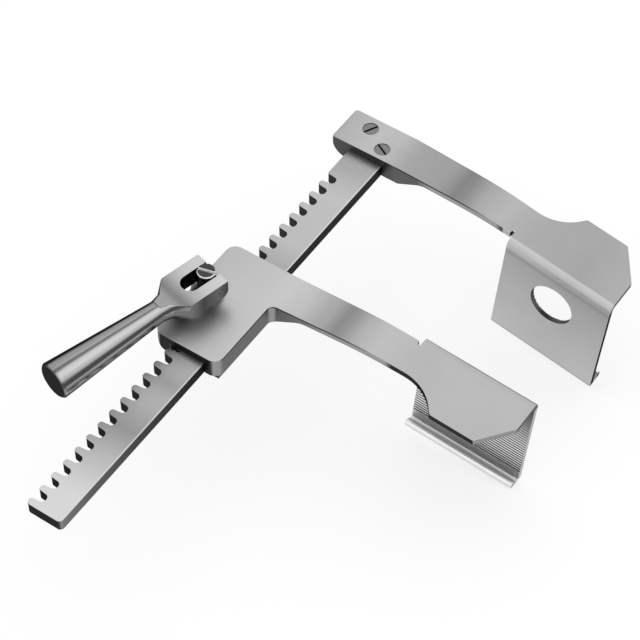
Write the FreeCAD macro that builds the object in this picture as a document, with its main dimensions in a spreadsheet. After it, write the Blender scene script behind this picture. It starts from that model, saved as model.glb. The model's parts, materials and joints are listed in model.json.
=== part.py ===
"""Self retaining retractor: a toothed rack with one fixed arm, and a second arm that a crank drives along it.

Millimetres. The origin is the centre of the rack's free end face, +Y runs along the rack to the fixed arm,
+X runs from the rack to the blades and +Z points up, away from the wound.
"""
import FreeCAD, Part
import math
import os

import Sketcher

V = FreeCAD.Vector

doc = FreeCAD.newDocument("retractor")
sheet = doc.addObject("Spreadsheet::Sheet", "sizes")

SIZES = {
    # rack bar
    "rack_width": 21.7,
    "rack_thick": 7.5,
    "rack_length": 304.5,
    "rack_corner": 2.5,
    "tooth_pitch": 9.4,
    "tooth_depth": 7.2,
    "tooth_count": 28,
    "first_slot": 7.0,
    "slot_mouth": 5.8,
    "slot_floor": 4.4,
    "slot_floor_bevel": 1.2,
    "tip_bevel": 0.9,
    # both arms, seen from the side
    "body_top": 8.9,
    "body_left": 21.75,
    "body_left_round": 9.0,
    "arm_thick": 4.1,
    "arm_rise_start": 21.5,
    "arm_rise_length": 15.5,
    "rise_foot_round": 3.0,
    "rise_top_round": 14.0,
    "arm_bend_at": 76.5,
    "arm_bend_radius": 221.0,
    "blade_pitch": 8.0,
    "top_edge_round": 0.6,
    # both arms, seen from above
    "arm_width": 23.3,
    "arm_toe_in": 2.6,
    "neck_at": 113.0,
    "neck_width": 20.6,
    "neck_round": 25.0,
    "shoulder_at": 123.5,
    "shoulder_round": 2.0,
    "plan_corner_round": 0.8,
    # blades
    "blade_start": 97.0,
    "notch_back": 1.2,
    "notch_round": 0.5,
    "blade_length": 67.2,
    "blade_toe_in": 2.1,
    "blade_end_tilt": 4.6,
    "plate_width": 41.2,
    "plate_thick": 3.2,
    "plate_corner_long": 14.0,
    "plate_corner_wide": 19.5,
    "wall_step": 5.7,
    "wall_thick": 3.4,
    "wall_depth": 75.0,
    "wall_bend_round": 5.0,
    "wall_corner_round": 1.6,
    "wall_end_round": 3.5,
    "seam_overlap": 3.0,
    "lip_reach": 10.4,
    "lip_height": 7.0,
    "lip_round": 5.0,
    "lip_tip_round": 1.5,
    "window_radius": 13.0,
    "window_along": 34.9,
    "window_down": 27.2,
    "groove_pitch": 2.1,
    "groove_count": 27,
    "groove_width": 1.1,
    "groove_depth": 0.45,
    "groove_first": 9.0,
    # fixed arm's block and its screws
    "rack_in_block": 20.1,
    "block_width": 24.1,
    "block_corner": 2.0,
    "screw_head_radius": 4.4,
    "screw_head_high": 2.2,
    "screw_sunk": 0.5,
    "screw_shank_radius": 2.0,
    "screw_bite": 6.0,
    "screw_slot": 1.2,
    "screw_a_back": 4.0,
    "screw_a_side": 7.0,
    "screw_a_turn": 62,
    "screw_b_back": 13.2,
    "screw_b_side": 6.8,
    "screw_b_turn": 152,
    # sliding housing
    "slider_start": 119.2,
    "slider_length": 71.1,
    "slider_right": 19.45,
    "slider_corner": 6.0,
    "slider_crook": 4.0,
    "slide_gap": 0.1,
    "cover_thick": 2.8,
    "cover_inset": 2.5,
    "cover_screw_radius": 1.4,
    "cover_screw_head": 2.6,
    "cover_screw_high": 1.3,
    "cover_screw_bite": 5.0,
    "cover_screw_inset": 8.0,
    "cover_screw_margin": 5.6,
    # drive
    "axis_out": 1.9,
    "axis_pitches": 15.75,
    "pin_circle": 4.4,
    "pin_radius": 1.8,
    "pin_margin": 0.25,
    "disc_high": 2.0,
    "end_disc_high": 1.5,
    "shaft_radius": 5.1,
    "stud_top": 27.2,
    "stud_bevel": 0.6,
    "stud_slot_wide": 1.6,
    "stud_slot_deep": 1.6,
    "stud_slot_turn": 119.0,
    "bush_wall": 1.8,
    "bush_flange_radius": 8.6,
    "bush_flange_high": 3.6,
    "fit_gap": 0.05,
    # crank
    "crank_turn": 14.0,
    "crank_axis_high": 20.2,
    "crank_tip": 4.6,
    "crank_length": 101.0,
    "head_turned_radius": 13.5,
    "head_width": 24.4,
    "head_thick": 11.0,
    "head_length": 20.0,
    "head_flat_rise": 12.0,
    "fork_gap": 0.35,
    "fork_depth": 16.0,
    "fork_tip_round": 4.5,
    "grip_shoulder_radius": 7.2,
    "grip_shoulder_at": 27.5,
    "grip_neck_radius": 6.1,
    "grip_neck_at": 33.0,
    "grip_end_radius": 10.4,
    "grip_end_bevel": 1.2,
    "hinge_pin_radius": 1.6,
}

for row, (alias, number) in enumerate(SIZES.items(), start=1):
    sheet.set("A%d" % row, alias)
    sheet.set("B%d" % row, str(number))
    sheet.setAlias("B%d" % row, alias)
doc.recompute()


class Size:
    """A length or angle with the expression that ties it to the sheet's cells."""

    def __init__(self, value, text):
        self.value = value
        self.text = text

    def __add__(self, other):
        other = as_size(other)
        return Size(self.value + other.value, "(%s + %s)" % (self.text, other.text))

    def __sub__(self, other):
        other = as_size(other)
        return Size(self.value - other.value, "(%s - %s)" % (self.text, other.text))

    def __mul__(self, other):
        other = as_size(other)
        return Size(self.value * other.value, "(%s * %s)" % (self.text, other.text))

    def __truediv__(self, other):
        other = as_size(other)
        return Size(self.value / other.value, "(%s / %s)" % (self.text, other.text))

    def __neg__(self):
        return Size(-self.value, "(0 - %s)" % self.text)

    __radd__ = __add__
    __rmul__ = __mul__

    def __rsub__(self, other):
        return as_size(other) - self


def as_size(number):
    return number if isinstance(number, Size) else Size(float(number), repr(float(number)))


def cell(alias):
    return Size(float(sheet.get(alias)), "sizes." + alias)


def sine(angle):
    return Size(math.sin(math.radians(angle.value)), "sin(%s)" % angle.text)


def cosine(angle):
    return Size(math.cos(math.radians(angle.value)), "cos(%s)" % angle.text)


def tangent(angle):
    return Size(math.tan(math.radians(angle.value)), "tan(%s)" % angle.text)


def bind(item, prop, size):
    item.setExpression(prop, as_size(size).text)


def place(item, x=0, y=0, z=0, axis=None, angle=0):
    """Put an object at a point, turned about an axis, with every number tied to the sheet."""
    if axis is not None:
        item.Placement = FreeCAD.Placement(V(0, 0, 0), FreeCAD.Rotation(axis, as_size(angle).value))
        bind(item, "Placement.Rotation.Angle", angle)
    for name, size in (("x", x), ("y", y), ("z", z)):
        bind(item, "Placement.Base." + name, size)
    return item


def origin_feature(body, role):
    return next(item for item in body.Origin.OriginFeatures if item.Role == role)


def new_sketch(body, name, plane, turn=None):
    """Start a sketch on one of the body's planes, turned about its own upright where a turn is given."""
    sketch = body.newObject("Sketcher::SketchObject", name)
    sketch.AttachmentSupport = [(origin_feature(body, plane), "")]
    sketch.MapMode = "FlatFace"
    if turn is not None:
        sketch.AttachmentOffset = FreeCAD.Placement(V(0, 0, 0), FreeCAD.Rotation(V(0, 1, 0), turn.value))
        bind(sketch, "AttachmentOffset.Rotation.Angle", turn)
    return sketch


def tie(sketch, kind, *places, size):
    index = sketch.addConstraint(Sketcher.Constraint(kind, *places, size.value))
    sketch.setExpression("Constraints[%d]" % index, size.text)


def fix_point(sketch, index, point, x, y):
    """Hold a point of the sketch at two signed distances from its origin."""
    for kind, size in (("DistanceX", x), ("DistanceY", y)):
        if size.value == 0 and size.text in ("0.0", "0"):
            other = -2 if kind == "DistanceX" else -1
            sketch.addConstraint(Sketcher.Constraint("PointOnObject", index, point, other))
        else:
            tie(sketch, kind, -1, 1, index, point, size=size)


def outline(sketch, corners):
    """Draw a closed outline through corners (x, y) or (x, y, radius), each rounded by its own radius."""
    spots = []
    for corner in corners:
        x, y = as_size(corner[0]), as_size(corner[1])
        radius = as_size(corner[2]) if len(corner) > 2 else None
        spots.append((V(x.value, y.value, 0), x, y, radius))
    count = len(spots)
    ends = []
    for index, (spot, _, _, radius) in enumerate(spots):
        before = (spots[index - 1][0] - spot).normalize()
        after = (spots[(index + 1) % count][0] - spot).normalize()
        if radius is None:
            ends.append((spot, spot, None))
            continue
        half = before.getAngle(after) / 2
        back = radius.value / math.tan(half)
        middle = spot + (before + after).normalize() * (radius.value / math.sin(half))
        ends.append((spot + before * back, spot + after * back, middle))
    lines = []
    for index in range(count):
        start, finish = ends[index][1], ends[(index + 1) % count][0]
        lines.append(sketch.addGeometry(Part.LineSegment(start, finish), False))
    for index, (spot, x, y, radius) in enumerate(spots):
        arriving, leaving = lines[index - 1], lines[index]
        if radius is None:
            sketch.addConstraint(Sketcher.Constraint("Coincident", arriving, 2, leaving, 1))
            fix_point(sketch, leaving, 1, x, y)
            continue
        first, last, middle = ends[index]
        left_turn = (first - middle).cross(last - middle).z > 0
        start, finish = (first, last) if left_turn else (last, first)
        near, far = (1, 2) if left_turn else (2, 1)
        ring = Part.Circle(middle, V(0, 0, 1), radius.value)
        arc = sketch.addGeometry(Part.ArcOfCircle(ring, ring.parameter(start), ring.parameter(finish)), False)
        sketch.addConstraint(Sketcher.Constraint("Tangent", arriving, 2, arc, near))
        sketch.addConstraint(Sketcher.Constraint("Tangent", leaving, 1, arc, far))
        tie(sketch, "Radius", arc, size=radius)
        mark = sketch.addGeometry(Part.Point(spot), True)
        sketch.addConstraint(Sketcher.Constraint("PointOnObject", mark, 1, arriving))
        sketch.addConstraint(Sketcher.Constraint("PointOnObject", mark, 1, leaving))
        fix_point(sketch, mark, 1, x, y)
    return sketch


def circle(sketch, x, y, radius):
    x, y, radius = as_size(x), as_size(y), as_size(radius)
    index = sketch.addGeometry(Part.Circle(V(x.value, y.value, 0), V(0, 0, 1), radius.value), False)
    fix_point(sketch, index, 3, x, y)
    tie(sketch, "Radius", index, size=radius)
    return sketch


def new_body(name):
    return doc.addObject("PartDesign::Body", name)


def pad(body, sketch, length, both_ways=True):
    feature = body.newObject("PartDesign::Pad", sketch.Name + "_pad")
    feature.Profile = sketch
    feature.Midplane = both_ways
    bind(feature, "Length", length)
    return feature


def pocket(body, sketch, length, both_ways=True):
    feature = body.newObject("PartDesign::Pocket", sketch.Name + "_cut")
    feature.Profile = sketch
    feature.Midplane = both_ways
    bind(feature, "Length", length)
    return feature


def revolve(body, sketch, axis_role):
    feature = body.newObject("PartDesign::Revolution", sketch.Name + "_turned")
    feature.Profile = sketch
    feature.ReferenceAxis = (origin_feature(body, axis_role), [""])
    feature.Angle = 360
    return feature


def repeat(body, feature, axis_role, pitch, count):
    """Repeat a cut along one of the body's axes."""
    pattern = body.newObject("PartDesign::LinearPattern", feature.Name + "_row")
    pattern.Originals = [feature]
    pattern.Direction = (origin_feature(body, axis_role), [""])
    bind(pattern, "Length", pitch * (count - 1))
    bind(pattern, "Occurrences", count)
    body.Tip = pattern
    return pattern


def solid_box(name, low, size):
    item = doc.addObject("Part::Box", name)
    for prop, length in zip(("Length", "Width", "Height"), size):
        bind(item, prop, length)
    return place(item, *low)


def solid_cylinder(name, radius, height, x=0, y=0, z=0, axis=None, angle=0):
    item = doc.addObject("Part::Cylinder", name)
    bind(item, "Radius", radius)
    bind(item, "Height", height)
    return place(item, x, y, z, axis, angle)


def combine(kind, name, items):
    item = doc.addObject(kind, name)
    if kind == "Part::Compound":
        item.Links = items
    else:
        item.Shapes = items
    return item


def cut(name, base, tools):
    item = doc.addObject("Part::Cut", name)
    item.Base = base
    item.Tool = tools[0] if len(tools) == 1 else combine("Part::MultiFuse", name + "_tools", tools)
    return item


# Places that several pieces share
half_rack = cell("rack_width") / 2
half_thick = cell("rack_thick") / 2
slide_gap = cell("slide_gap")
fit_gap = cell("fit_gap")
body_top = cell("body_top")
clear_of_all = cell("rack_length") * 2
clear_of_body = body_top * 2
cut_over = body_top / 2
block_start = cell("rack_length") - cell("rack_in_block")
block_far = block_start + cell("block_width")
slider_far = cell("slider_start") + cell("slider_length")
channel_top = half_thick + slide_gap
slider_floor = -half_thick - slide_gap
axis_x = -half_rack - cell("axis_out")
axis_y = cell("first_slot") + cell("tooth_pitch") * cell("axis_pitches")
crank_angle = -90 - cell("crank_turn")
mesh_angle = cell("axis_pitches") * -180
disc_radius = cell("pin_circle") + cell("pin_radius") + cell("pin_margin")
disc_top = channel_top + cell("disc_high")
bush_radius = cell("shaft_radius") + cell("bush_wall")
blade_fall = tangent(cell("blade_pitch"))
blade_start = cell("blade_start")
blade_top = body_top - (blade_start - cell("arm_bend_at")) * blade_fall
plate_end = blade_start + cell("blade_length") * cosine(cell("blade_pitch"))
screws = [
    (-cell("screw_a_side"), cell("rack_length") - cell("screw_a_back"), cell("screw_a_turn")),
    (cell("screw_b_side"), cell("rack_length") - cell("screw_b_back"), cell("screw_b_turn")),
]


def rack_bar():
    body = new_body("rack_bar")
    bar = outline(new_sketch(body, "rack_outline", "XY_Plane"), [
        (-half_rack, 0, cell("rack_corner")),
        (half_rack, 0, cell("rack_corner")),
        (half_rack, cell("rack_length"), cell("rack_corner")),
        (-half_rack, cell("rack_length"), cell("rack_corner")),
    ])
    pad(body, bar, cell("rack_thick"))
    tooth_root = cell("tooth_depth") - half_rack
    half_mouth = cell("slot_mouth") / 2
    half_floor = cell("slot_floor") / 2
    bevel = cell("tip_bevel")
    floor_bevel = cell("slot_floor_bevel")
    flank_slope = (half_mouth - half_floor) / (cell("tooth_depth") - bevel)
    half_above_floor = half_floor + floor_bevel * flank_slope
    first = cell("first_slot")
    slot = outline(new_sketch(body, "rack_slot", "XY_Plane"), [
        (-half_rack - cut_over, first - half_mouth - bevel),
        (-half_rack, first - half_mouth - bevel),
        (bevel - half_rack, first - half_mouth),
        (tooth_root - floor_bevel, first - half_above_floor),
        (tooth_root, first - half_floor + floor_bevel),
        (tooth_root, first + half_floor - floor_bevel),
        (tooth_root - floor_bevel, first + half_above_floor),
        (bevel - half_rack, first + half_mouth),
        (-half_rack, first + half_mouth + bevel),
        (-half_rack - cut_over, first + half_mouth + bevel),
    ])
    teeth = repeat(body, pocket(body, slot, cell("rack_thick") * 2), "Y_Axis",
                   cell("tooth_pitch"), cell("tooth_count"))
    holes = new_sketch(body, "rack_screw_holes", "XY_Plane")
    for x, y, _ in screws:
        circle(holes, x, y, cell("screw_shank_radius") + fit_gap)
    body.Tip = pocket(body, holes, cell("rack_thick") * 2)
    return body


def arm_blank(name, side, root_edge, wall_face, plan_start):
    """An arm and its plate: the outline seen from above, within the outline seen from the side.

    side is +1 where the blade's wall lies towards +Y, and -1 where it lies towards -Y.
    """
    toe_slope = tangent(cell("blade_toe_in")) / cosine(cell("blade_pitch"))
    toe_edge = root_edge + cell("arm_toe_in") * side

    def along_wall(x, inward):
        return wall_face + ((x - blade_start) * toe_slope - inward) * side

    seam = cell("wall_bend_round") + cell("seam_overlap")
    chamfer_start = plate_end - cell("plate_corner_long")
    plan_end = plate_end + cell("plate_thick")
    notch = blade_start - cell("notch_back")
    corner = cell("plan_corner_round")
    plan_body = new_body(name + "_plan")
    plan = outline(new_sketch(plan_body, name + "_plan_outline", "XY_Plane"), plan_start + [
        (cell("neck_at"), toe_edge - cell("neck_width") * side, cell("neck_round")),
        (cell("shoulder_at"), along_wall(cell("shoulder_at"), cell("plate_width")), cell("shoulder_round")),
        (chamfer_start, along_wall(chamfer_start, cell("plate_width")), corner),
        (plate_end, along_wall(plate_end, cell("plate_width") - cell("plate_corner_wide"))),
        (plan_end, along_wall(plate_end, cell("plate_width") - cell("plate_corner_wide"))),
        (plan_end, along_wall(plan_end, seam)),
        (notch, along_wall(notch, seam)),
        (notch - cell("notch_round"), toe_edge, cell("notch_round")),
    ])
    pad(plan_body, plan, clear_of_body * 2)
    side_body = new_body(name + "_side")
    tip_x = plate_end + clear_of_body
    tip_top = body_top - (tip_x - cell("arm_bend_at")) * blade_fall
    tip_low = tip_top - cell("plate_thick") / cosine(cell("blade_pitch"))
    arm_low = body_top - cell("arm_thick")
    rise = cell("arm_rise_start")
    profile = outline(new_sketch(side_body, name + "_side_outline", "XZ_Plane"), [
        (-cell("body_left"), slider_floor, cell("body_left_round")),
        (rise, slider_floor, cell("rise_foot_round")),
        (rise + cell("arm_rise_length"), arm_low, cell("rise_top_round")),
        (cell("arm_bend_at"), arm_low, cell("arm_bend_radius") - cell("arm_thick")),
        (tip_x, tip_low),
        (tip_x, tip_top),
        (cell("arm_bend_at"), body_top, cell("arm_bend_radius")),
        (-cell("body_left"), body_top, cell("top_edge_round")),
    ])
    pad(side_body, profile, clear_of_all * 2)
    blank = doc.addObject("Part::Common", name + "_blank")
    blank.Base = plan_body
    blank.Tool = side_body
    tilt = cell("blade_end_tilt")
    plate_end_top = blade_top - cell("blade_length") * sine(cell("blade_pitch"))
    trim = solid_box(name + "_end_trim",
                     (plate_end - clear_of_body * sine(tilt), -clear_of_all,
                      plate_end_top - clear_of_body * cosine(tilt)),
                     (clear_of_body, clear_of_all * 2, clear_of_body * 2))
    trim.Placement = FreeCAD.Placement(trim.Placement.Base, FreeCAD.Rotation(V(0, 1, 0), tilt.value))
    bind(trim, "Placement.Rotation.Angle", tilt)
    return cut(name + "_flat_parts", blank, [trim])


def blade_wall(name, side, wall_face):
    """The bent-down wall of a blade, with its lip, window and grip grooves, pitched down with the plate."""
    depth = cell("wall_depth")
    thick = cell("wall_thick")
    reach_out = cell("lip_reach")
    lip_floor = thick - depth
    lip_top = cell("lip_height") - depth
    plate_low = -cell("plate_thick")
    seam = cell("wall_bend_round") + cell("seam_overlap") * 2
    inner_round = cell("lip_round") - thick
    toe_in = cell("blade_toe_in") * side
    body = new_body(name + "_wall")
    profile = outline(new_sketch(body, name + "_wall_profile", "YZ_Plane", toe_in), [
        (0, 0, cell("wall_bend_round")),
        (0, -depth, cell("lip_round")),
        (reach_out * -side, -depth, cell("lip_round")),
        (reach_out * -side, lip_top, cell("lip_tip_round")),
        ((reach_out - thick) * -side, lip_top, cell("lip_tip_round")),
        ((reach_out - thick) * -side, lip_floor, inner_round),
        (thick * -side, lip_floor, inner_round),
        (thick * -side, plate_low, cell("wall_corner_round")),
        (seam * -side, plate_low),
        (seam * -side, 0),
    ])
    pad(body, profile, cell("blade_length") * 3)
    groove_z = -cell("groove_first")
    half_groove = cell("groove_width") / 2
    groove_over = thick + cell("groove_depth")
    groove = outline(new_sketch(body, name + "_groove", "YZ_Plane", toe_in), [
        (groove_over * -side, groove_z - half_groove),
        (thick * -side, groove_z - half_groove),
        ((thick - cell("groove_depth")) * -side, groove_z),
        (thick * -side, groove_z + half_groove),
        (groove_over * -side, groove_z + half_groove),
    ])
    groove_cut = pocket(body, groove, cell("blade_length") * 4)
    rows = repeat(body, groove_cut, "Z_Axis", cell("groove_pitch"), cell("groove_count"))
    rows.Reversed = True
    window = new_sketch(body, name + "_window", "XZ_Plane", toe_in)
    circle(window, cell("window_along"), -cell("window_down"), cell("window_radius"))
    body.Tip = pocket(body, window, 4 * reach_out)
    place(body, blade_start, wall_face, blade_top, V(0, 1, 0), cell("blade_pitch"))
    lean = tangent(cell("blade_pitch") - cell("blade_end_tilt"))
    length = cell("blade_length")
    face_body = new_body(name + "_wall_face")
    face = outline(new_sketch(face_body, name + "_wall_face_outline", "XZ_Plane"), [
        (-cut_over * lean, cut_over),
        (depth * lean, -depth, cell("wall_end_round")),
        (length + depth * lean, -depth, cell("wall_end_round")),
        (length - cut_over * lean, cut_over),
    ])
    pad(face_body, face, clear_of_all * 2)
    place(face_body, blade_start, wall_face, blade_top, V(0, 1, 0), cell("blade_pitch"))
    wall = doc.addObject("Part::Common", name + "_wall_trimmed")
    wall.Base = body
    wall.Tool = face_body
    return wall


def screw_seat(name, x, y):
    head_floor = body_top - cell("screw_sunk") - cell("screw_head_high")
    seat = solid_cylinder(name + "_seat", cell("screw_head_radius") + fit_gap, clear_of_body, x, y, head_floor)
    bore = solid_cylinder(name + "_bore", cell("screw_shank_radius") + fit_gap, clear_of_body * 2,
                          x, y, -clear_of_body)
    return [seat, bore]


def fixed_arm():
    wall_face = block_start - cell("arm_toe_in") - cell("wall_step")
    flat_parts = arm_blank("fixed_arm", -1, block_start, wall_face, [
        (cell("slider_right"), block_start),
        (-cell("body_left"), block_start, cell("plan_corner_round")),
        (-cell("body_left"), block_far, cell("block_corner")),
        (cell("slider_right"), block_far),
    ])
    joined = combine("Part::MultiFuse", "fixed_arm_joined", [flat_parts, blade_wall("fixed_arm", -1, wall_face)])
    socket = solid_box("fixed_arm_socket",
                       (-half_rack - fit_gap, block_start - cut_over, half_thick - clear_of_body),
                       (cell("rack_width") + fit_gap * 2, cell("rack_in_block") + cut_over + fit_gap,
                        clear_of_body))
    tools = [socket]
    for index, (x, y, _) in enumerate(screws):
        tools += screw_seat("arm_screw_%d" % index, x, y)
    return cut("fixed_arm", joined, tools)


def cross_slot(name, x, y, top, half_long, wide, deep, turn):
    """A driver slot's cutter: a bar across (x, y), turned about the upright, sunk into the top."""
    bar = doc.addObject("Part::Box", name)
    bind(bar, "Length", half_long * 2)
    bind(bar, "Width", wide)
    bind(bar, "Height", deep * 2)
    start_x = x - half_long * cosine(turn) + wide / 2 * sine(turn)
    start_y = y - half_long * sine(turn) - wide / 2 * cosine(turn)
    return place(bar, start_x, start_y, top - deep, V(0, 0, 1), turn)


def arm_screws():
    top = body_top - cell("screw_sunk")
    head_low = top - cell("screw_head_high")
    foot = half_thick - cell("screw_bite")
    made = []
    for index, (x, y, turn) in enumerate(screws):
        name = "arm_screw_solid_%d" % index
        head = solid_cylinder(name + "_head", cell("screw_head_radius"), cell("screw_head_high"), x, y, head_low)
        shank = solid_cylinder(name + "_shank", cell("screw_shank_radius"), head_low - foot, x, y, foot)
        whole = combine("Part::MultiFuse", name + "_blank", [head, shank])
        slot = cross_slot(name + "_slot", x, y, top, cell("screw_head_radius") * 2, cell("screw_slot"),
                          cell("screw_slot"), turn)
        made.append(cut(name, whole, [slot]))
    return combine("Part::Compound", "arm_screws", made)


def cover_screw_places():
    """Two screws at opposite corners of the cover, clear of the rack and the drive."""
    margin = cell("cover_screw_margin")
    inset = cell("cover_screw_inset")
    return [
        (margin - cell("body_left"), cell("slider_start") + inset),
        (cell("slider_right") - margin, slider_far - inset),
    ]


def slider_arm():
    wall_face = slider_far + cell("arm_toe_in") + cell("wall_step")
    arm_edge = slider_far - cell("arm_width")
    flat_parts = arm_blank("slider_arm", 1, slider_far, wall_face, [
        (cell("slider_right"), slider_far),
        (-cell("body_left"), slider_far, cell("slider_corner")),
        (-cell("body_left"), cell("slider_start"), cell("slider_corner")),
        (cell("slider_right"), cell("slider_start"), cell("slider_corner")),
        (cell("slider_right"), arm_edge, cell("slider_crook")),
    ])
    joined = combine("Part::MultiFuse", "slider_arm_joined", [flat_parts, blade_wall("slider_arm", 1, wall_face)])
    channel = solid_box("slider_channel",
                        (-half_rack - slide_gap, cell("slider_start") - cut_over, -clear_of_body),
                        (cell("rack_width") + slide_gap * 2, cell("slider_length") + cut_over * 2,
                         channel_top + clear_of_body))
    tools = [
        channel,
        solid_cylinder("drive_chamber", disc_radius + slide_gap, disc_top + slide_gap + clear_of_body,
                       axis_x, axis_y, -clear_of_body),
        solid_cylinder("bush_seat", bush_radius, clear_of_body, axis_x, axis_y, 0),
    ]
    for index, (x, y) in enumerate(cover_screw_places()):
        tools.append(solid_cylinder("cover_screw_bore_%d" % index, cell("cover_screw_radius") + fit_gap,
                                    cell("cover_screw_bite") + slide_gap + clear_of_body, x, y,
                                    slider_floor - clear_of_body))
    return cut("slider_arm", joined, tools)


def slider_cover():
    inset = cell("cover_inset")
    low = slider_floor - cell("cover_thick")
    body = new_body("slider_cover_plate")
    plate = outline(new_sketch(body, "cover_outline", "XY_Plane"), [
        (inset - cell("body_left"), cell("slider_start") + inset),
        (cell("slider_right") - inset / 2, cell("slider_start") + inset),
        (cell("slider_right") - inset / 2, slider_far - inset),
        (inset - cell("body_left"), slider_far - inset),
    ])
    pad(body, plate, cell("cover_thick"), both_ways=False)
    place(body, 0, 0, low)
    tools = [solid_cylinder("end_disc_seat", disc_radius + slide_gap, clear_of_body, axis_x, axis_y,
                            slider_floor - cell("end_disc_high") - slide_gap)]
    for index, (x, y) in enumerate(cover_screw_places()):
        tools.append(solid_cylinder("cover_hole_%d" % index, cell("cover_screw_radius") + fit_gap,
                                    clear_of_body * 2, x, y, -clear_of_body))
        tools.append(solid_cylinder("cover_sink_%d" % index, cell("cover_screw_head") + fit_gap,
                                    cell("cover_screw_high") + cut_over, x, y, low - cut_over))
    return cut("slider_cover", body, tools)


def cover_screws():
    low = slider_floor - cell("cover_thick")
    shank = cell("cover_thick") - cell("cover_screw_high") + cell("cover_screw_bite")
    made = []
    for index, (x, y) in enumerate(cover_screw_places()):
        name = "cover_screw_%d" % index
        head = solid_cylinder(name + "_head", cell("cover_screw_head"), cell("cover_screw_high"), x, y, low)
        stem = solid_cylinder(name + "_stem", cell("cover_screw_radius"), shank, x, y,
                              low + cell("cover_screw_high"))
        made.append(combine("Part::MultiFuse", name, [head, stem]))
    return combine("Part::Compound", "cover_screws", made)


def shaft_bush():
    inner = cell("shaft_radius") + fit_gap
    flange = cell("bush_flange_radius")
    flange_top = body_top + cell("bush_flange_high")
    body = new_body("shaft_bush")
    profile = outline(new_sketch(body, "bush_profile", "XZ_Plane"), [
        (inner, disc_top + slide_gap),
        (bush_radius, disc_top + slide_gap),
        (bush_radius, body_top),
        (flange, body_top),
        (flange, flange_top),
        (inner, flange_top),
    ])
    revolve(body, profile, "Z_Axis")
    return place(body, axis_x, axis_y)


def drive_shaft():
    body = new_body("drive_shaft_turned")
    shaft = cell("shaft_radius")
    bevel = cell("stud_bevel")
    top = cell("stud_top")
    profile = outline(new_sketch(body, "shaft_profile", "XZ_Plane"), [
        (0, channel_top),
        (disc_radius, channel_top),
        (disc_radius, disc_top),
        (shaft, disc_top),
        (shaft, top - bevel),
        (shaft - bevel, top),
        (0, top),
    ])
    revolve(body, profile, "Z_Axis")
    cross = circle(new_sketch(body, "shaft_cross_bore", "XZ_Plane"), 0, cell("crank_axis_high"),
                   cell("hinge_pin_radius") + fit_gap)
    body.Tip = pocket(body, cross, 4 * shaft)
    place(body, axis_x, axis_y, 0, V(0, 0, 1), crank_angle)
    slot = cross_slot("stud_slot", axis_x, axis_y, top, shaft * 2, cell("stud_slot_wide"),
                      cell("stud_slot_deep"), crank_angle + cell("stud_slot_turn"))
    return cut("drive_shaft", body, [slot])


def drive_pins():
    made = []
    for index in range(2):
        turn = mesh_angle + 180 * index
        x = axis_x + cell("pin_circle") * cosine(turn)
        y = axis_y + cell("pin_circle") * sine(turn)
        made.append(solid_cylinder("drive_pin_%d" % index, cell("pin_radius"), channel_top - slider_floor,
                                   x, y, slider_floor))
    return combine("Part::Compound", "drive_pins", made)


def drive_end_disc():
    return solid_cylinder("drive_end_disc", disc_radius, cell("end_disc_high"), axis_x, axis_y,
                          slider_floor - cell("end_disc_high"))


def crank_handle():
    body = new_body("crank_handle")
    tip = cell("crank_tip")
    tip_over = tip + cut_over
    head = cell("head_length")
    turned = cell("head_turned_radius")
    neck = cell("grip_neck_at")
    end_bevel = cell("grip_end_bevel")
    profile = outline(new_sketch(body, "handle_profile", "XY_Plane"), [
        (-tip, 0),
        (-tip, turned),
        (head, turned),
        (cell("grip_shoulder_at"), cell("grip_shoulder_radius")),
        (neck, cell("grip_neck_radius")),
        (cell("crank_length") - end_bevel, cell("grip_end_radius")),
        (cell("crank_length"), cell("grip_end_radius") - end_bevel),
        (cell("crank_length"), 0),
    ])
    revolve(body, profile, "X_Axis")
    flat = cell("head_thick") / 2
    wide = cell("head_width") / 2
    rise = cell("head_flat_rise")
    above = outline(new_sketch(body, "head_top_flat", "XZ_Plane"), [
        (-tip_over, flat),
        (neck, flat),
        (neck + rise, flat + rise),
        (-tip_over, flat + rise),
    ])
    pocket(body, above, 4 * turned)
    below = outline(new_sketch(body, "head_low_flat", "XZ_Plane"), [
        (-tip_over, flat * 2),
        (-tip_over, -flat - rise),
        (neck + rise, -flat - rise),
        (neck, -flat),
        (-tip, -flat, cell("fork_tip_round")),
        (-tip, flat * 2),
    ])
    pocket(body, below, 4 * turned)
    for sign, name in ((1, "left"), (-1, "right")):
        flank = outline(new_sketch(body, "head_%s_flat" % name, "XY_Plane"), [
            (-tip_over, wide * sign),
            (neck, wide * sign),
            (neck, turned * 2 * sign),
            (-tip_over, turned * 2 * sign),
        ])
        pocket(body, flank, 4 * turned)
    half_slot = cell("shaft_radius") + cell("fork_gap")
    slot_floor = outline(new_sketch(body, "fork_slot", "XY_Plane"), [
        (-tip_over, -half_slot),
        (cell("fork_depth"), -half_slot, half_slot - fit_gap),
        (cell("fork_depth"), half_slot, half_slot - fit_gap),
        (-tip_over, half_slot),
    ])
    pocket(body, slot_floor, 4 * turned)
    pin_bore = circle(new_sketch(body, "fork_pin_bore", "XZ_Plane"), 0, 0, cell("hinge_pin_radius") + fit_gap / 2)
    body.Tip = pocket(body, pin_bore, 4 * turned)
    return place(body, axis_x, axis_y, cell("crank_axis_high"), V(0, 0, 1), crank_angle)


def hinge_pin():
    """The cross pin lies across the crank's length, through both prongs and the stud."""
    body = new_body("hinge_pin")
    round_bar = circle(new_sketch(body, "hinge_pin_section", "XZ_Plane"), 0, 0, cell("hinge_pin_radius"))
    pad(body, round_bar, cell("head_width"))
    return place(body, axis_x, axis_y, cell("crank_axis_high"), V(0, 0, 1), crank_angle)


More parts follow.
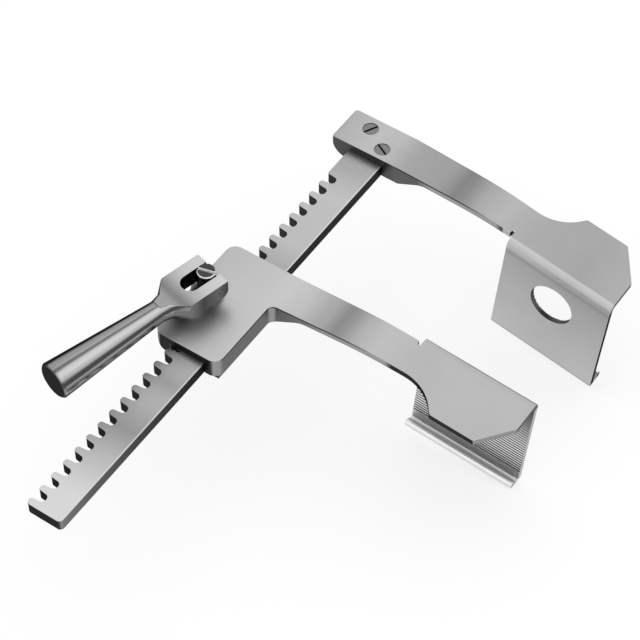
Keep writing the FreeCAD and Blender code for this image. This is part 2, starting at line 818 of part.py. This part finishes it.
def check_and_write(pieces):
    doc.recompute()
    for item in doc.Objects:
        if "Invalid" in item.State or "Error" in item.State:
            raise RuntimeError("%s is %s" % (item.Name, item.State))
    for node, item in pieces.items():
        if item.Shape.isNull() or not item.Shape.isValid():
            raise RuntimeError(node + " has no valid shape")
    os.makedirs("parts", exist_ok=True)
    for node, item in pieces.items():
        item.Shape.exportStep("parts/%s.step" % node)
        box = item.Shape.BoundBox
        print("%-15s solids %d faces %4d volume %9.1f  x %.1f..%.1f y %.1f..%.1f z %.1f..%.1f" % (
            node, len(item.Shape.Solids), len(item.Shape.Faces), item.Shape.Volume,
            box.XMin, box.XMax, box.YMin, box.YMax, box.ZMin, box.ZMax))


check_and_write({
    "rack_bar": rack_bar(),
    "fixed_arm": fixed_arm(),
    "arm_screws": arm_screws(),
    "slider_arm": slider_arm(),
    "slider_cover": slider_cover(),
    "cover_screws": cover_screws(),
    "shaft_bush": shaft_bush(),
    "drive_shaft": drive_shaft(),
    "drive_pins": drive_pins(),
    "drive_end_disc": drive_end_disc(),
    "crank_handle": crank_handle(),
    "hinge_pin": hinge_pin(),
})
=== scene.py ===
import json
import math

import bpy
from mathutils import Matrix, Vector


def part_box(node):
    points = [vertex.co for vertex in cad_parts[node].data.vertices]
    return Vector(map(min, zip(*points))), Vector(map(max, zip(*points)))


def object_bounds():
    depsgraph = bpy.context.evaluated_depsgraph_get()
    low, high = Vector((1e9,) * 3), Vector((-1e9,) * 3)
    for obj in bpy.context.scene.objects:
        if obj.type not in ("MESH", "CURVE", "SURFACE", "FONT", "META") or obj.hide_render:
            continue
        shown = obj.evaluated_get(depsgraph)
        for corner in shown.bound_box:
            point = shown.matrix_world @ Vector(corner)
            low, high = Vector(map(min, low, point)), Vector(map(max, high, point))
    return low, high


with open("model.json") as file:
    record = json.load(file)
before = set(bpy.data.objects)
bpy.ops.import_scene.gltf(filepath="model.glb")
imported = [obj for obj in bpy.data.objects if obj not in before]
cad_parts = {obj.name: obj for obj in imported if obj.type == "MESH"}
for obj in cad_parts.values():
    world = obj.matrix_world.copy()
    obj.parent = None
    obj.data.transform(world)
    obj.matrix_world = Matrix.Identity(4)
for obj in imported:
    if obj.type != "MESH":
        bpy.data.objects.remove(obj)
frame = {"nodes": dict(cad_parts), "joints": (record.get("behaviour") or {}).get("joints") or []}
CAD_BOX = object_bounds()
NODES = frame["nodes"]
MM = 0.001

# The camera, in metres: where it stands, how it is turned, and a long lens
CAMERA_PLACE = (0.4923, -0.4769, 1.0051)
CAMERA_RIGHT = (0.8246, 0.5657, 0.0)
CAMERA_UP = (-0.4435, 0.6465, 0.6205)
CAMERA_LENS = 137.6
SENSOR = 36.0

# The light: soft white surroundings and two square lamps, with sizes in metres and powers in watts
SOFT_LIGHT = 0.8
SEEN_WHITE = 1.0
LAMP_TARGET = (0.06, 0.16, 0)
KEY_PLACE, KEY_SIZE, KEY_POWER = (0.1, 0.5, 1.2), 1.5, 1.3
FILL_PLACE, FILL_SIZE, FILL_POWER = (0.9, -0.7, 0.9), 1.0, 0.6

# The floor: how bright its paper is as a light, and how it is made to look white
FLOOR_HALF = 6.0
FLOOR_DROP = 0.5 * MM
PAPER = 0.86
SEEN_PAPER = 0.42
SEEN_GLOW = 0.66

# The dressing of the CAD nodes
WELD_WITHIN = 0.002 * MM
FLAT_BELOW = math.radians(0.4)
EDGE_BREAK = 0.35 * MM
FINE_EDGE_BREAK = 0.12 * MM
BREAK_ABOVE = math.radians(32)
SMOOTH_BELOW = math.radians(34)
NORMAL_WEIGHT = 60

# The steel: noise per metre along and across the brush lines, and how much they and the clouds vary it
BRUSHED_ALONG_X = (60, 900, 900)
BRUSHED_ALONG_Y = (900, 60, 900)
UNBRUSHED = (500, 500, 500)
BRUSH_SHADE = 0.10
BRUSH_ROUGHNESS = 0.16
BRUSH_RELIEF = 0.2 * MM
RELIEF_SHARE = 0.05
CLOUD_SCALE = 30.0
CLOUD_SHADE = 0.16
SCREW_CLOUD_SHADE = 0.6
GLANCING_TINT = (0.3, 0.3, 0.3, 1)

# Where the forms of the rack and the arms are
RACK_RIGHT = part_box("rack_bar")[1].x
ARM_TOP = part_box("slider_arm")[1].z
HOUSING_RIGHT = 19 * MM
# How wide the painted highlight along the rack top's right edge is
RACK_EDGE_HIGHLIGHT_WIDTH = 1 * MM
UNDER_RIM_DROP = 1.1 * MM

# Where the forms of a blade are: along X, down from its plate's top, and back from its wall's broad face
BLADE_PITCH = math.radians(8)
BLADE_TOE_IN = math.radians(2.1)
BLADE_LENGTH = 73 * MM
BLADE_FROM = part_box("slider_arm")[1].x - BLADE_LENGTH
WINDOW_FROM = 110 * MM
WINDOW_TO = 146 * MM
PLATE_TOP = 19.45 * MM
PLATE_THICK = 4.6 * MM
BEND_DOWN_TO = 6 * MM
GUTTER_FROM = 68 * MM
BEND_BACK_TO = 10 * MM
WINDOW_BACK_TO = 2.8 * MM
GROOVE_FLOOR = 3.1 * MM
GUTTER_BACK_TO = 7.2 * MM
LIP_BACK_FROM = 7.8 * MM
SLIDER_WALL_AT = 195.13 * MM
FIXED_WALL_AT = 279.25 * MM

# Where the forms of the handle and the screws are
FOLD = next(joint for joint in frame["joints"] if joint["name"] == "handle_fold")
HINGE = Vector(FOLD["pos_m"])
GRIP_ACROSS = -Vector(FOLD["axis"])
GRIP_ALONG = Vector((GRIP_ACROSS.y, -GRIP_ACROSS.x, 0))
HEAD_LENGTH = 20 * MM
NECK_LENGTH = 8 * MM
FORK_GAP = 9 * MM
ARM_SCREW_SLOT_FLOOR = 7.2 * MM
STUD_SLOT_FLOOR = 25.6 * MM
NO_SLOT = 0.0

# Printed greys, 0 to 1, at places in mm along X for the arms' tops and cut edges. They are painted light
# and shade: the dark bands across the tops are a painted reflection of the arms' bend, and the dark
# stretches of the cut edges are painted shade
SLIDER_TOP = ((-22, 0.71), (0, 0.73), (22, 0.75), (34, 0.72), (44, 0.65), (49, 0.63), (56, 0.53),
              (61, 0.56), (68, 0.65), (80, 0.71), (100, 0.69), (163, 0.69))
SLIDER_EDGES = ((-22, 0.26), (18, 0.26), (23, 0.44), (40, 0.50), (52, 0.64), (88, 0.66), (92, 0.25),
                (163, 0.25))
FIXED_TOP = ((-22, 0.68), (0, 0.73), (12, 0.71), (24, 0.64), (48, 0.60), (57, 0.51), (62, 0.53),
             (72, 0.64), (86, 0.69), (105, 0.65), (140, 0.63), (163, 0.66))
FIXED_EDGES = ((-22, 0.36), (10, 0.30), (20, 0.42), (34, 0.42), (44, 0.66), (86, 0.66), (90, 0.25),
               (163, 0.25))

# Printed greys at places in mm along Y for the rack's top and its right side, painted light and shade: soft
# dark bands of painted shadow across the top, and a side that darkens along Y as painted shade
RACK_TOP = ((0, 0.82), (18, 0.81), (44, 0.70), (63, 0.58), (81, 0.67), (90, 0.67), (98, 0.61), (107, 0.67),
            (195, 0.65), (212, 0.71), (250, 0.73), (272, 0.66), (304, 0.68))
RACK_SIDE = ((0, 0.56), (25, 0.46), (60, 0.38), (115, 0.27), (200, 0.30), (304, 0.30))

# Printed greys in mm down the wall's broad face and its grooved face, and back across the lip's hollow,
# painted light and shade: a dark line of painted shade at the bend, painted shadow under the plate that
# gives way to painted light lower down the grooved face, and painted shade deep in the hollow
WALL_OUTSIDE = ((0, 0.75), (4, 0.77), (6.5, 0.63), (10, 0.70), (30, 0.73), (50, 0.76), (75, 0.79))
WALL_INSIDE = ((4, 0.30), (20, 0.56), (36, 0.84), (55, 1.00), (75, 1.00))
GUTTER = ((3.4, 1.00), (5.6, 0.80), (6.4, 0.20), (7, 0.12))

# Printed greys at angles in degrees round the grip: 0 is its right side and 90 its top. The light and dark
# bands are a painted reflection on the polished grip
GRIP_BANDS = ((-180, 0.75), (-60, 0.75), (-32, 0.34), (-12, 0.50), (0, 0.64), (16, 0.62), (23, 0.28),
              (35, 0.30), (43, 0.68), (56, 0.78), (69, 0.72), (76, 0.42), (80, 0.40), (87, 0.60),
              (106, 0.58), (116, 0.24), (180, 0.24))

# Printed greys in mm from the hinge along the handle, for the fork head's top and flanks, painted light and
# shade
HEAD_TOP = ((-8, 0.78), (8, 0.74), (15, 0.66), (23, 0.44))
HEAD_FLANK = ((-6, 0.30), (2, 0.55), (12, 0.42), (20, 0.62))

# Printed greys of the smaller faces, all painted light and shade: the dark flanks, cut faces, rims, the
# line under a rim, lower wall edges, window cut, grip end and fork slot are painted shade, the fork slot's
# near-black a painted shadow; the light rims, corners, upper wall edges, lip and head underside are painted
# highlights and painted light
TOOTH_FLANK = 0.27
RACK_RIM = 0.88
# A painted highlight along the rack top's right edge, and how much of it is laid over the top's grey
RACK_EDGE_HIGHLIGHT = 0.84
RACK_EDGE_HIGHLIGHT_SHARE = 0.7
ARM_CUT_ALONG_X = 0.54
ARM_CORNER = 0.62
NECK_CORNER = 0.20
ARM_RIM = 0.20
HOUSING_FRONT_RIM = 0.88
UNDER_RIM = 0.24
WALL_EDGE_BELOW = 0.30
WALL_EDGE_ABOVE = 0.62
LIP = 0.97
WINDOW_CUT = 0.36
GRIP_END = 0.32
HEAD_UNDERSIDE = 0.90
HEAD_RIM = 0.20
FORK_SLOT = 0.14


def add_camera():
    data = bpy.data.cameras.new("camera")
    data.lens = CAMERA_LENS
    data.sensor_width = SENSOR
    data.clip_start = 0.05
    data.clip_end = 50.0
    camera = bpy.data.objects.new("camera", data)
    right, up = Vector(CAMERA_RIGHT).normalized(), Vector(CAMERA_UP).normalized()
    back = right.cross(up)
    turn = Matrix((right, up, back)).transposed().to_4x4()
    camera.matrix_world = Matrix.Translation(CAMERA_PLACE) @ turn
    bpy.context.collection.objects.link(camera)
    bpy.context.scene.camera = camera


def add_lamp(name, place, size, power):
    data = bpy.data.lights.new(name, "AREA")
    data.shape = "SQUARE"
    data.size = size
    data.energy = power
    lamp = bpy.data.objects.new(name, data)
    lamp.location = place
    lamp.rotation_mode = "QUATERNION"
    lamp.rotation_quaternion = (Vector(LAMP_TARGET) - Vector(place)).to_track_quat("-Z", "Y")
    bpy.context.collection.objects.link(lamp)


def linear(grey):
    """The strength of a grey as printed, where 0 is black and 1 is white."""
    return grey ** 2.2


def neutral(value):
    """A colour without a hue."""
    return (value, value, value, 1)


def in_metres(stops):
    """Stops whose places are given in mm."""
    return [(place * MM, grey) for place, grey in stops]


class Nodes:
    """A short way to build a node tree."""

    def __init__(self, tree):
        self.tree = tree
        tree.nodes.clear()

    def add(self, kind, inputs=None, **settings):
        node = self.tree.nodes.new(kind)
        for name, value in settings.items():
            setattr(node, name, value)
        for key, value in (inputs or {}).items():
            if isinstance(value, bpy.types.NodeSocket):
                self.tree.links.new(value, node.inputs[key])
            else:
                node.inputs[key].default_value = value
        return node

    def maths(self, operation, *values, clamp=False):
        inputs = dict(enumerate(values))
        return self.add("ShaderNodeMath", inputs, operation=operation, use_clamp=clamp).outputs[0]

    def both(self, first, second):
        return self.maths("MULTIPLY", first, second)

    def either(self, first, second):
        return self.maths("MAXIMUM", first, second)

    def size_of(self, value):
        return self.maths("ABSOLUTE", value)

    def along(self, vector, direction):
        """How far a vector reaches in a direction."""
        node = self.add("ShaderNodeVectorMath", {0: vector, 1: direction}, operation="DOT_PRODUCT")
        return node.outputs["Value"]

    def step(self, value, low, high):
        """0 at low and 1 at high, with a soft step between. Low may be the larger of the two."""
        node = self.add("ShaderNodeMapRange", {0: value, 1: low, 2: high}, interpolation_type="SMOOTHSTEP")
        return node.outputs[0]

    def past(self, value, edge, soft):
        """0 up to an edge, and 1 from a soft width beyond it."""
        return self.step(value, edge, edge + soft)

    def within(self, value, edge, soft):
        """1 up to an edge, and 0 from a soft width beyond it."""
        return self.step(value, edge + soft, edge)

    def vary(self, middle, noise, spread):
        """A value that noise moves to both sides of its middle."""
        return self.maths("MULTIPLY_ADD", noise, spread, middle - spread / 2)

    def mix(self, first, second, factor):
        node = self.add("ShaderNodeMix", {0: factor, 2: first, 3: second}, data_type="FLOAT")
        return node.outputs[0]

    def ramp(self, value, stops):
        """A grey that runs through stops, each a place and a printed grey."""
        start, end = stops[0][0], stops[-1][0]
        spread = self.add("ShaderNodeMapRange", {0: value, 1: start, 2: end})
        node = self.add("ShaderNodeValToRGB", {0: spread.outputs[0]})
        elements = node.color_ramp.elements
        while len(elements) < len(stops):
            elements.new(0.5)
        for element, (place, grey) in zip(elements, stops):
            element.position = (place - start) / (end - start)
            element.color = neutral(linear(grey))
        return node.outputs[0]


def seen_rays(nodes):
    """1 for rays from the camera and for mirror and see-through rays, 0 for the rest."""
    path = nodes.add("ShaderNodeLightPath").outputs
    seen = nodes.either(path["Is Camera Ray"], path["Is Glossy Ray"])
    return nodes.either(seen, path["Is Transmission Ray"])


def add_world():
    """Soft white light from all sides, in front of plain white."""
    world = bpy.data.worlds.new("studio")
    bpy.context.scene.world = world
    world.use_nodes = True
    nodes = Nodes(world.node_tree)
    soft = nodes.add("ShaderNodeBackground", {"Color": neutral(1), "Strength": SOFT_LIGHT})
    white = nodes.add("ShaderNodeBackground", {"Color": neutral(1), "Strength": SEEN_WHITE})
    seen = seen_rays(nodes)
    mixed = nodes.add("ShaderNodeMixShader", {0: seen, 1: soft.outputs[0], 2: white.outputs[0]})
    nodes.add("ShaderNodeOutputWorld", {0: mixed.outputs[0]})


def floor_paper():
    material = bpy.data.materials.new("floor_paper")
    material.use_nodes = True
    nodes = Nodes(material.node_tree)
    paper = nodes.add("ShaderNodeBsdfDiffuse", {"Color": neutral(PAPER)})
    pale = nodes.add("ShaderNodeBsdfDiffuse", {"Color": neutral(SEEN_PAPER)})
    glow = nodes.add("ShaderNodeEmission", {"Color": neutral(1), "Strength": SEEN_GLOW})
    bright = nodes.add("ShaderNodeAddShader", {0: pale.outputs[0], 1: glow.outputs[0]})
    seen = seen_rays(nodes)
    mixed = nodes.add("ShaderNodeMixShader", {0: seen, 1: paper.outputs[0], 2: bright.outputs[0]})
    nodes.add("ShaderNodeOutputMaterial", {0: mixed.outputs[0]})
    return material


def add_floor(height):
    """White paper: it lights the object from below, looks white, and keeps a faint shadow."""
    mesh = bpy.data.meshes.new("floor")
    half = FLOOR_HALF
    corners = [(-half, -half, height), (half, -half, height), (half, half, height), (-half, half, height)]
    mesh.from_pydata(corners, [], [(0, 1, 2, 3)])
    floor = bpy.data.objects.new("floor", mesh)
    bpy.context.collection.objects.link(floor)
    floor.data.materials.append(floor_paper())


class Surface:
    """The place of a point of the surface in its body's frame, and the direction that it faces."""

    def __init__(self, nodes):
        source = nodes.add("ShaderNodeTexCoord")
        self.place = source.outputs["Object"]
        self.normal = source.outputs["Normal"]
        self.x, self.y, self.z = nodes.add("ShaderNodeSeparateXYZ", {0: self.place}).outputs
        self.nx, self.ny, self.nz = nodes.add("ShaderNodeSeparateXYZ", {0: self.normal}).outputs


def steel(name, tone, roughness, grain, cloud_shade=CLOUD_SHADE):
    """Steel whose tone, painted light and shade, follows tone(nodes, surface), with brush lines along the
    low number of grain.
    """
    material = bpy.data.materials.new(name)
    material.use_nodes = True
    nodes = Nodes(material.node_tree)
    surface = Surface(nodes)
    stretched = nodes.add("ShaderNodeMapping", {"Vector": surface.place, "Scale": grain}).outputs[0]
    lines = nodes.add("ShaderNodeTexNoise", {
        "Vector": stretched, "Scale": 1.0, "Detail": 6.0, "Roughness": 0.6})
    clouds = nodes.add("ShaderNodeTexNoise", {"Vector": surface.place, "Scale": CLOUD_SCALE, "Detail": 3.0})
    brushed = nodes.vary(1, lines.outputs[0], BRUSH_SHADE)
    clouded = nodes.vary(1, clouds.outputs[0], cloud_shade)
    relief = nodes.add("ShaderNodeBump", {
        "Height": lines.outputs[0], "Strength": RELIEF_SHARE, "Distance": BRUSH_RELIEF})
    finish = nodes.add("ShaderNodeBsdfPrincipled", {
        "Base Color": nodes.both(tone(nodes, surface), nodes.both(clouded, brushed)),
        "Metallic": 1.0,
        "Roughness": nodes.vary(roughness, lines.outputs[0], BRUSH_ROUGHNESS),
        "Specular Tint": GLANCING_TINT,
        "Normal": relief.outputs[0]})
    nodes.add("ShaderNodeOutputMaterial", {0: finish.outputs[0]})
    return material


def rack_tone(nodes, at):
    """Painted light and shade: bright along the top with two soft dark bands of painted shadow, dark tooth
    flanks and sides as painted shade, and painted highlights on the rims and along the top's right edge.
    """
    side = nodes.ramp(at.y, in_metres(RACK_SIDE))
    tone = nodes.mix(linear(TOOTH_FLANK), side, nodes.step(at.nx, 0.5, 0.8))
    tone = nodes.mix(tone, linear(RACK_RIM), nodes.step(at.nz, 0.35, 0.6))
    # A painted highlight along the top's right edge
    painted_highlight = nodes.past(at.x, RACK_RIGHT - RACK_EDGE_HIGHLIGHT_WIDTH, 0.3 * MM)
    top = nodes.ramp(at.y, in_metres(RACK_TOP))
    top = nodes.mix(top, linear(RACK_EDGE_HIGHLIGHT), nodes.both(painted_highlight, RACK_EDGE_HIGHLIGHT_SHARE))
    return nodes.mix(tone, top, nodes.step(at.nz, 0.85, 0.97))


class Blade:
    """Where a point lies on a blade.

    side is 1 where the wall's broad face looks to +Y and -1 where it looks to -Y, and wall_at is how far
    that face lies along its own direction. depth runs down the wall from the plate's top, reach runs back
    from the broad face, and outward is 1 where a point faces as the broad face does.
    """

    def __init__(self, nodes, at, side, wall_at):
        toe_in = BLADE_TOE_IN * side
        down = (-math.sin(BLADE_PITCH), 0.0, -math.cos(BLADE_PITCH))
        broad_way = (-math.sin(toe_in), math.cos(toe_in), 0.0)
        self.depth = nodes.maths("ADD", nodes.along(at.place, down), PLATE_TOP)
        self.reach = nodes.maths("MULTIPLY_ADD", nodes.along(at.place, broad_way), -side, wall_at * side)
        self.outward = nodes.both(at.ny, side)
        self.past_arm = nodes.past(at.x, BLADE_FROM - MM, 2 * MM)
        leans_outward = nodes.step(self.outward, 0.05, 0.3)
        self.bend = nodes.both(leans_outward, nodes.within(self.reach, BEND_BACK_TO, 2 * MM))
        under_plate = nodes.past(self.depth, PLATE_THICK, MM)
        self.wall = nodes.both(self.past_arm, nodes.either(self.bend, under_plate))


def arm_edge_tone(nodes, at, blade, edges, plate_end):
    """The arm's cut edges in painted light and shade: lighter round a corner as a painted highlight and
    darker at the neck's corner, with a rim above that is a painted highlight along the front and painted
    shade elsewhere, and a band of painted shade just under that rim away from the front.
    """
    facing_x = nodes.size_of(at.nx)
    tone = nodes.mix(nodes.ramp(at.x, edges), linear(ARM_CUT_ALONG_X), nodes.step(facing_x, 0.55, 0.9))
    plate_corner = nodes.mix(linear(NECK_CORNER), linear(plate_end), nodes.step(at.nx, -0.1, 0.1))
    corner_tone = nodes.mix(linear(ARM_CORNER), plate_corner, blade.past_arm)
    corner = nodes.both(facing_x, nodes.size_of(at.ny))
    tone = nodes.mix(tone, corner_tone, nodes.step(corner, 0.22, 0.45))
    front = nodes.both(nodes.step(at.ny, -0.2, -0.5), nodes.within(at.x, HOUSING_RIGHT, 2 * MM))
    under_rim = nodes.past(at.z, ARM_TOP - UNDER_RIM_DROP, 0.3 * MM)
    under_rim = nodes.maths("SUBTRACT", under_rim, front, clamp=True)
    tone = nodes.mix(tone, linear(UNDER_RIM), under_rim)
    rim = nodes.mix(linear(ARM_RIM), linear(HOUSING_FRONT_RIM), front)
    return nodes.mix(tone, rim, nodes.step(at.nz, 0.2, 0.45))


def gutter_place(nodes, blade):
    """1 in the hollow between the wall and its lip."""
    low = nodes.past(blade.depth, GUTTER_FROM, 3 * MM)
    return nodes.both(low, nodes.within(blade.reach, GUTTER_BACK_TO, 0.4 * MM))


def window_place(nodes, at, blade):
    """1 on the inside of the round window."""
    across = nodes.both(nodes.past(at.x, WINDOW_FROM - MM, MM), nodes.within(at.x, WINDOW_TO, MM))
    square_to_wall = nodes.step(nodes.size_of(blade.outward), 0.5, 0.2)
    cut = nodes.both(square_to_wall, nodes.within(blade.reach, WINDOW_BACK_TO, 0.1 * MM))
    return nodes.both(across, cut)


def wall_tone(nodes, at, blade, end_rim, end_grey):
    """The blade's wall in painted light and shade: its broad face and bend, grooves, hollow and lip, and
    its ends and window, with its edges lighter where they face up and the window's inside darker.
    """
    tone = nodes.mix(linear(WALL_EDGE_BELOW), linear(WALL_EDGE_ABOVE), nodes.step(at.nz, -0.1, 0.7))
    tone = nodes.mix(tone, nodes.ramp(blade.reach, in_metres(GUTTER)), gutter_place(nodes, blade))
    round_bend = nodes.both(blade.bend, nodes.within(blade.depth, BEND_DOWN_TO, 2 * MM))
    broad = nodes.either(nodes.step(blade.outward, 0.45, 0.8), round_bend)
    tone = nodes.mix(tone, nodes.ramp(blade.depth, in_metres(WALL_OUTSIDE)), broad)
    out_of_grooves = nodes.past(blade.reach, GROOVE_FLOOR, 0.25 * MM)
    grooved = nodes.both(nodes.ramp(blade.depth, in_metres(WALL_INSIDE)), out_of_grooves)
    tone = nodes.mix(tone, grooved, nodes.step(blade.outward, -0.5, -0.85))
    tone = nodes.mix(tone, linear(LIP), nodes.past(blade.reach, LIP_BACK_FROM, 0.8 * MM))
    facing_x = nodes.size_of(at.nx)
    tone = nodes.mix(tone, linear(end_rim), nodes.step(facing_x, 0.2, 0.5))
    tone = nodes.mix(tone, linear(end_grey), nodes.step(facing_x, 0.6, 0.95))
    return nodes.mix(tone, linear(WINDOW_CUT), window_place(nodes, at, blade))


def arm_tone(side, wall_at, top, edges, plate_end, end_rim, end_grey):
    """The painted light and shade of an arm and its blade.

    The stops of top and edges run along X. plate_end is the grey of the plate's cut corners, and end_rim
    and end_grey are those of the wall's ends, round their edge and on their face.
    """
    def tone(nodes, at):
        blade = Blade(nodes, at, side, wall_at)
        arm = arm_edge_tone(nodes, at, blade, in_metres(edges), plate_end)
        arm = nodes.mix(arm, nodes.ramp(at.x, in_metres(top)), nodes.step(at.nz, 0.80, 0.95))
        return nodes.mix(arm, wall_tone(nodes, at, blade, end_rim, end_grey), blade.wall)
    return tone


def grip_tone(nodes, at):
    """Painted reflection of light and dark bands along the polished grip, and painted shade on its flat
    end.
    """
    facing_across = nodes.along(at.normal, GRIP_ACROSS)
    angle = nodes.maths("DEGREES", nodes.maths("ARCTAN2", at.nz, facing_across))
    end = nodes.step(nodes.along(at.normal, GRIP_ALONG), 0.6, 0.9)
    return nodes.mix(nodes.ramp(angle, GRIP_BANDS), linear(GRIP_END), end)


def handle_tone(nodes, at):
    """Painted light and shade on the grip, and on the flat facets and the slot of the fork head, whose slot
    is a dark painted shadow.
    """
    from_hinge = nodes.add("ShaderNodeVectorMath", {
        0: at.place, 1: HINGE}, operation="SUBTRACT").outputs[0]
    along = nodes.along(from_hinge, GRIP_ALONG)
    across = nodes.along(from_hinge, GRIP_ACROSS)
    head = nodes.ramp(along, in_metres(HEAD_FLANK))
    head = nodes.mix(head, linear(HEAD_UNDERSIDE), nodes.step(at.nz, -0.5, -0.8))
    head = nodes.mix(head, linear(HEAD_RIM), nodes.step(at.nz, 0.15, 0.45))
    head = nodes.mix(head, nodes.ramp(along, in_metres(HEAD_TOP)), nodes.step(at.nz, 0.6, 0.85))
    # The fork's slot is painted near-black, a painted shadow
    in_slot = nodes.within(nodes.size_of(across), FORK_GAP / 2, 0.4 * MM)
    head = nodes.mix(head, linear(FORK_SLOT), nodes.both(in_slot, nodes.step(at.nz, 0.6, 0.4)))
    return nodes.mix(head, grip_tone(nodes, at), nodes.past(along, HEAD_LENGTH, NECK_LENGTH))


def small_tone(top, side, slot, slot_floor):
    """The painted light and shade of a screw, pin or stud: its face, its side, and its driver slot, cut
    down to slot_floor.
    """
    def tone(nodes, at):
        above = nodes.past(at.z, slot_floor + 0.2 * MM, 0.2 * MM)
        face = nodes.mix(linear(slot), linear(top), above)
        wall = nodes.mix(linear(side), linear(slot), above)
        return nodes.mix(wall, face, nodes.step(at.nz, 0.6, 0.9))
    return tone


def smooth_group():
    """A geometry node group that shades every face smooth but keeps the sharp edges."""
    group = bpy.data.node_groups.new("smooth_but_sharp", "GeometryNodeTree")
    group.interface.new_socket("Geometry", in_out="INPUT", socket_type="NodeSocketGeometry")
    group.interface.new_socket("Geometry", in_out="OUTPUT", socket_type="NodeSocketGeometry")
    nodes = Nodes(group)
    came_in = nodes.add("NodeGroupInput")
    smooth = nodes.add("GeometryNodeSetShadeSmooth", {
        "Geometry": came_in.outputs[0], "Shade Smooth": True}, domain="FACE")
    angle = nodes.add("GeometryNodeInputMeshEdgeAngle").outputs["Unsigned Angle"]
    sharp = nodes.add("FunctionNodeCompare", {
        0: angle, 1: SMOOTH_BELOW}, data_type="FLOAT", operation="GREATER_THAN")
    kept = nodes.add("GeometryNodeSetShadeSmooth", {
        "Geometry": smooth.outputs[0], "Selection": sharp.outputs[0], "Shade Smooth": False}, domain="EDGE")
    nodes.add("NodeGroupOutput", {0: kept.outputs[0]})
    return group


def dress(node, material, edge_break):
    """Give a CAD node its steel with painted light and shade, break its cut edges and shade its round faces
    smooth.
    """
    piece = NODES[node]
    piece.data.materials.clear()
    piece.data.materials.append(material)
    weld = piece.modifiers.new("weld", "WELD")
    weld.merge_threshold = WELD_WITHIN
    flatten = piece.modifiers.new("flatten", "DECIMATE")
    flatten.decimate_type = "DISSOLVE"
    flatten.angle_limit = FLAT_BELOW
    bevel = piece.modifiers.new("bevel", "BEVEL")
    bevel.width = edge_break
    bevel.segments = 2
    bevel.limit_method = "ANGLE"
    bevel.angle_limit = BREAK_ABOVE
    bevel.use_clamp_overlap = False
    smooth = piece.modifiers.new("smooth", "NODES")
    smooth.node_group = SMOOTH_GROUP
    even = piece.modifiers.new("even", "WEIGHTED_NORMAL")
    even.keep_sharp = True
    even.weight = NORMAL_WEIGHT


bpy.context.scene.view_settings.view_transform = "Standard"
add_camera()
add_world()
add_lamp("key", KEY_PLACE, KEY_SIZE, KEY_POWER)
add_lamp("fill", FILL_PLACE, FILL_SIZE, FILL_POWER)
add_floor(CAD_BOX[0].z - FLOOR_DROP)
SMOOTH_GROUP = smooth_group()

# The greys of the arms' plate corners and wall ends are painted light and shade
slider_tone = arm_tone(
    side=1, wall_at=SLIDER_WALL_AT, top=SLIDER_TOP, edges=SLIDER_EDGES,
    plate_end=0.62, end_rim=0.32, end_grey=0.92)
fixed_tone = arm_tone(
    side=-1, wall_at=FIXED_WALL_AT, top=FIXED_TOP, edges=FIXED_EDGES,
    plate_end=0.25, end_rim=0.85, end_grey=0.25)
# Painted light and shade on the screws, stud and pins: their darker sides, the screw slots and the stud's
# dark top are painted shade, and the stud's bright slot is a painted highlight
screw_tone = small_tone(top=0.50, side=0.24, slot=0.30, slot_floor=ARM_SCREW_SLOT_FLOOR)
stud_tone = small_tone(top=0.28, side=0.26, slot=0.95, slot_floor=STUD_SLOT_FLOOR)
pin_tone = small_tone(top=0.50, side=0.32, slot=0.50, slot_floor=NO_SLOT)

slider_steel = steel("slider_steel", slider_tone, roughness=0.40, grain=BRUSHED_ALONG_X)
fixed_steel = steel("fixed_steel", fixed_tone, roughness=0.40, grain=BRUSHED_ALONG_X)
rack_steel = steel("rack_steel", rack_tone, roughness=0.38, grain=BRUSHED_ALONG_Y)
grip_steel = steel("grip_steel", handle_tone, roughness=0.22, grain=BRUSHED_ALONG_Y)
screw_steel = steel(
    "screw_steel", screw_tone, roughness=0.30, grain=UNBRUSHED, cloud_shade=SCREW_CLOUD_SHADE)
stud_steel = steel("stud_steel", stud_tone, roughness=0.28, grain=UNBRUSHED)
pin_steel = steel("pin_steel", pin_tone, roughness=0.30, grain=UNBRUSHED)

dress("slider_arm", slider_steel, EDGE_BREAK)
dress("slider_cover", slider_steel, EDGE_BREAK)
dress("fixed_arm", fixed_steel, EDGE_BREAK)
dress("rack_bar", rack_steel, EDGE_BREAK)
dress("crank_handle", grip_steel, EDGE_BREAK)
dress("arm_screws", screw_steel, FINE_EDGE_BREAK)
dress("drive_shaft", stud_steel, FINE_EDGE_BREAK)
for node in ("cover_screws", "shaft_bush", "drive_pins", "drive_end_disc", "hinge_pin"):
    dress(node, pin_steel, FINE_EDGE_BREAK)
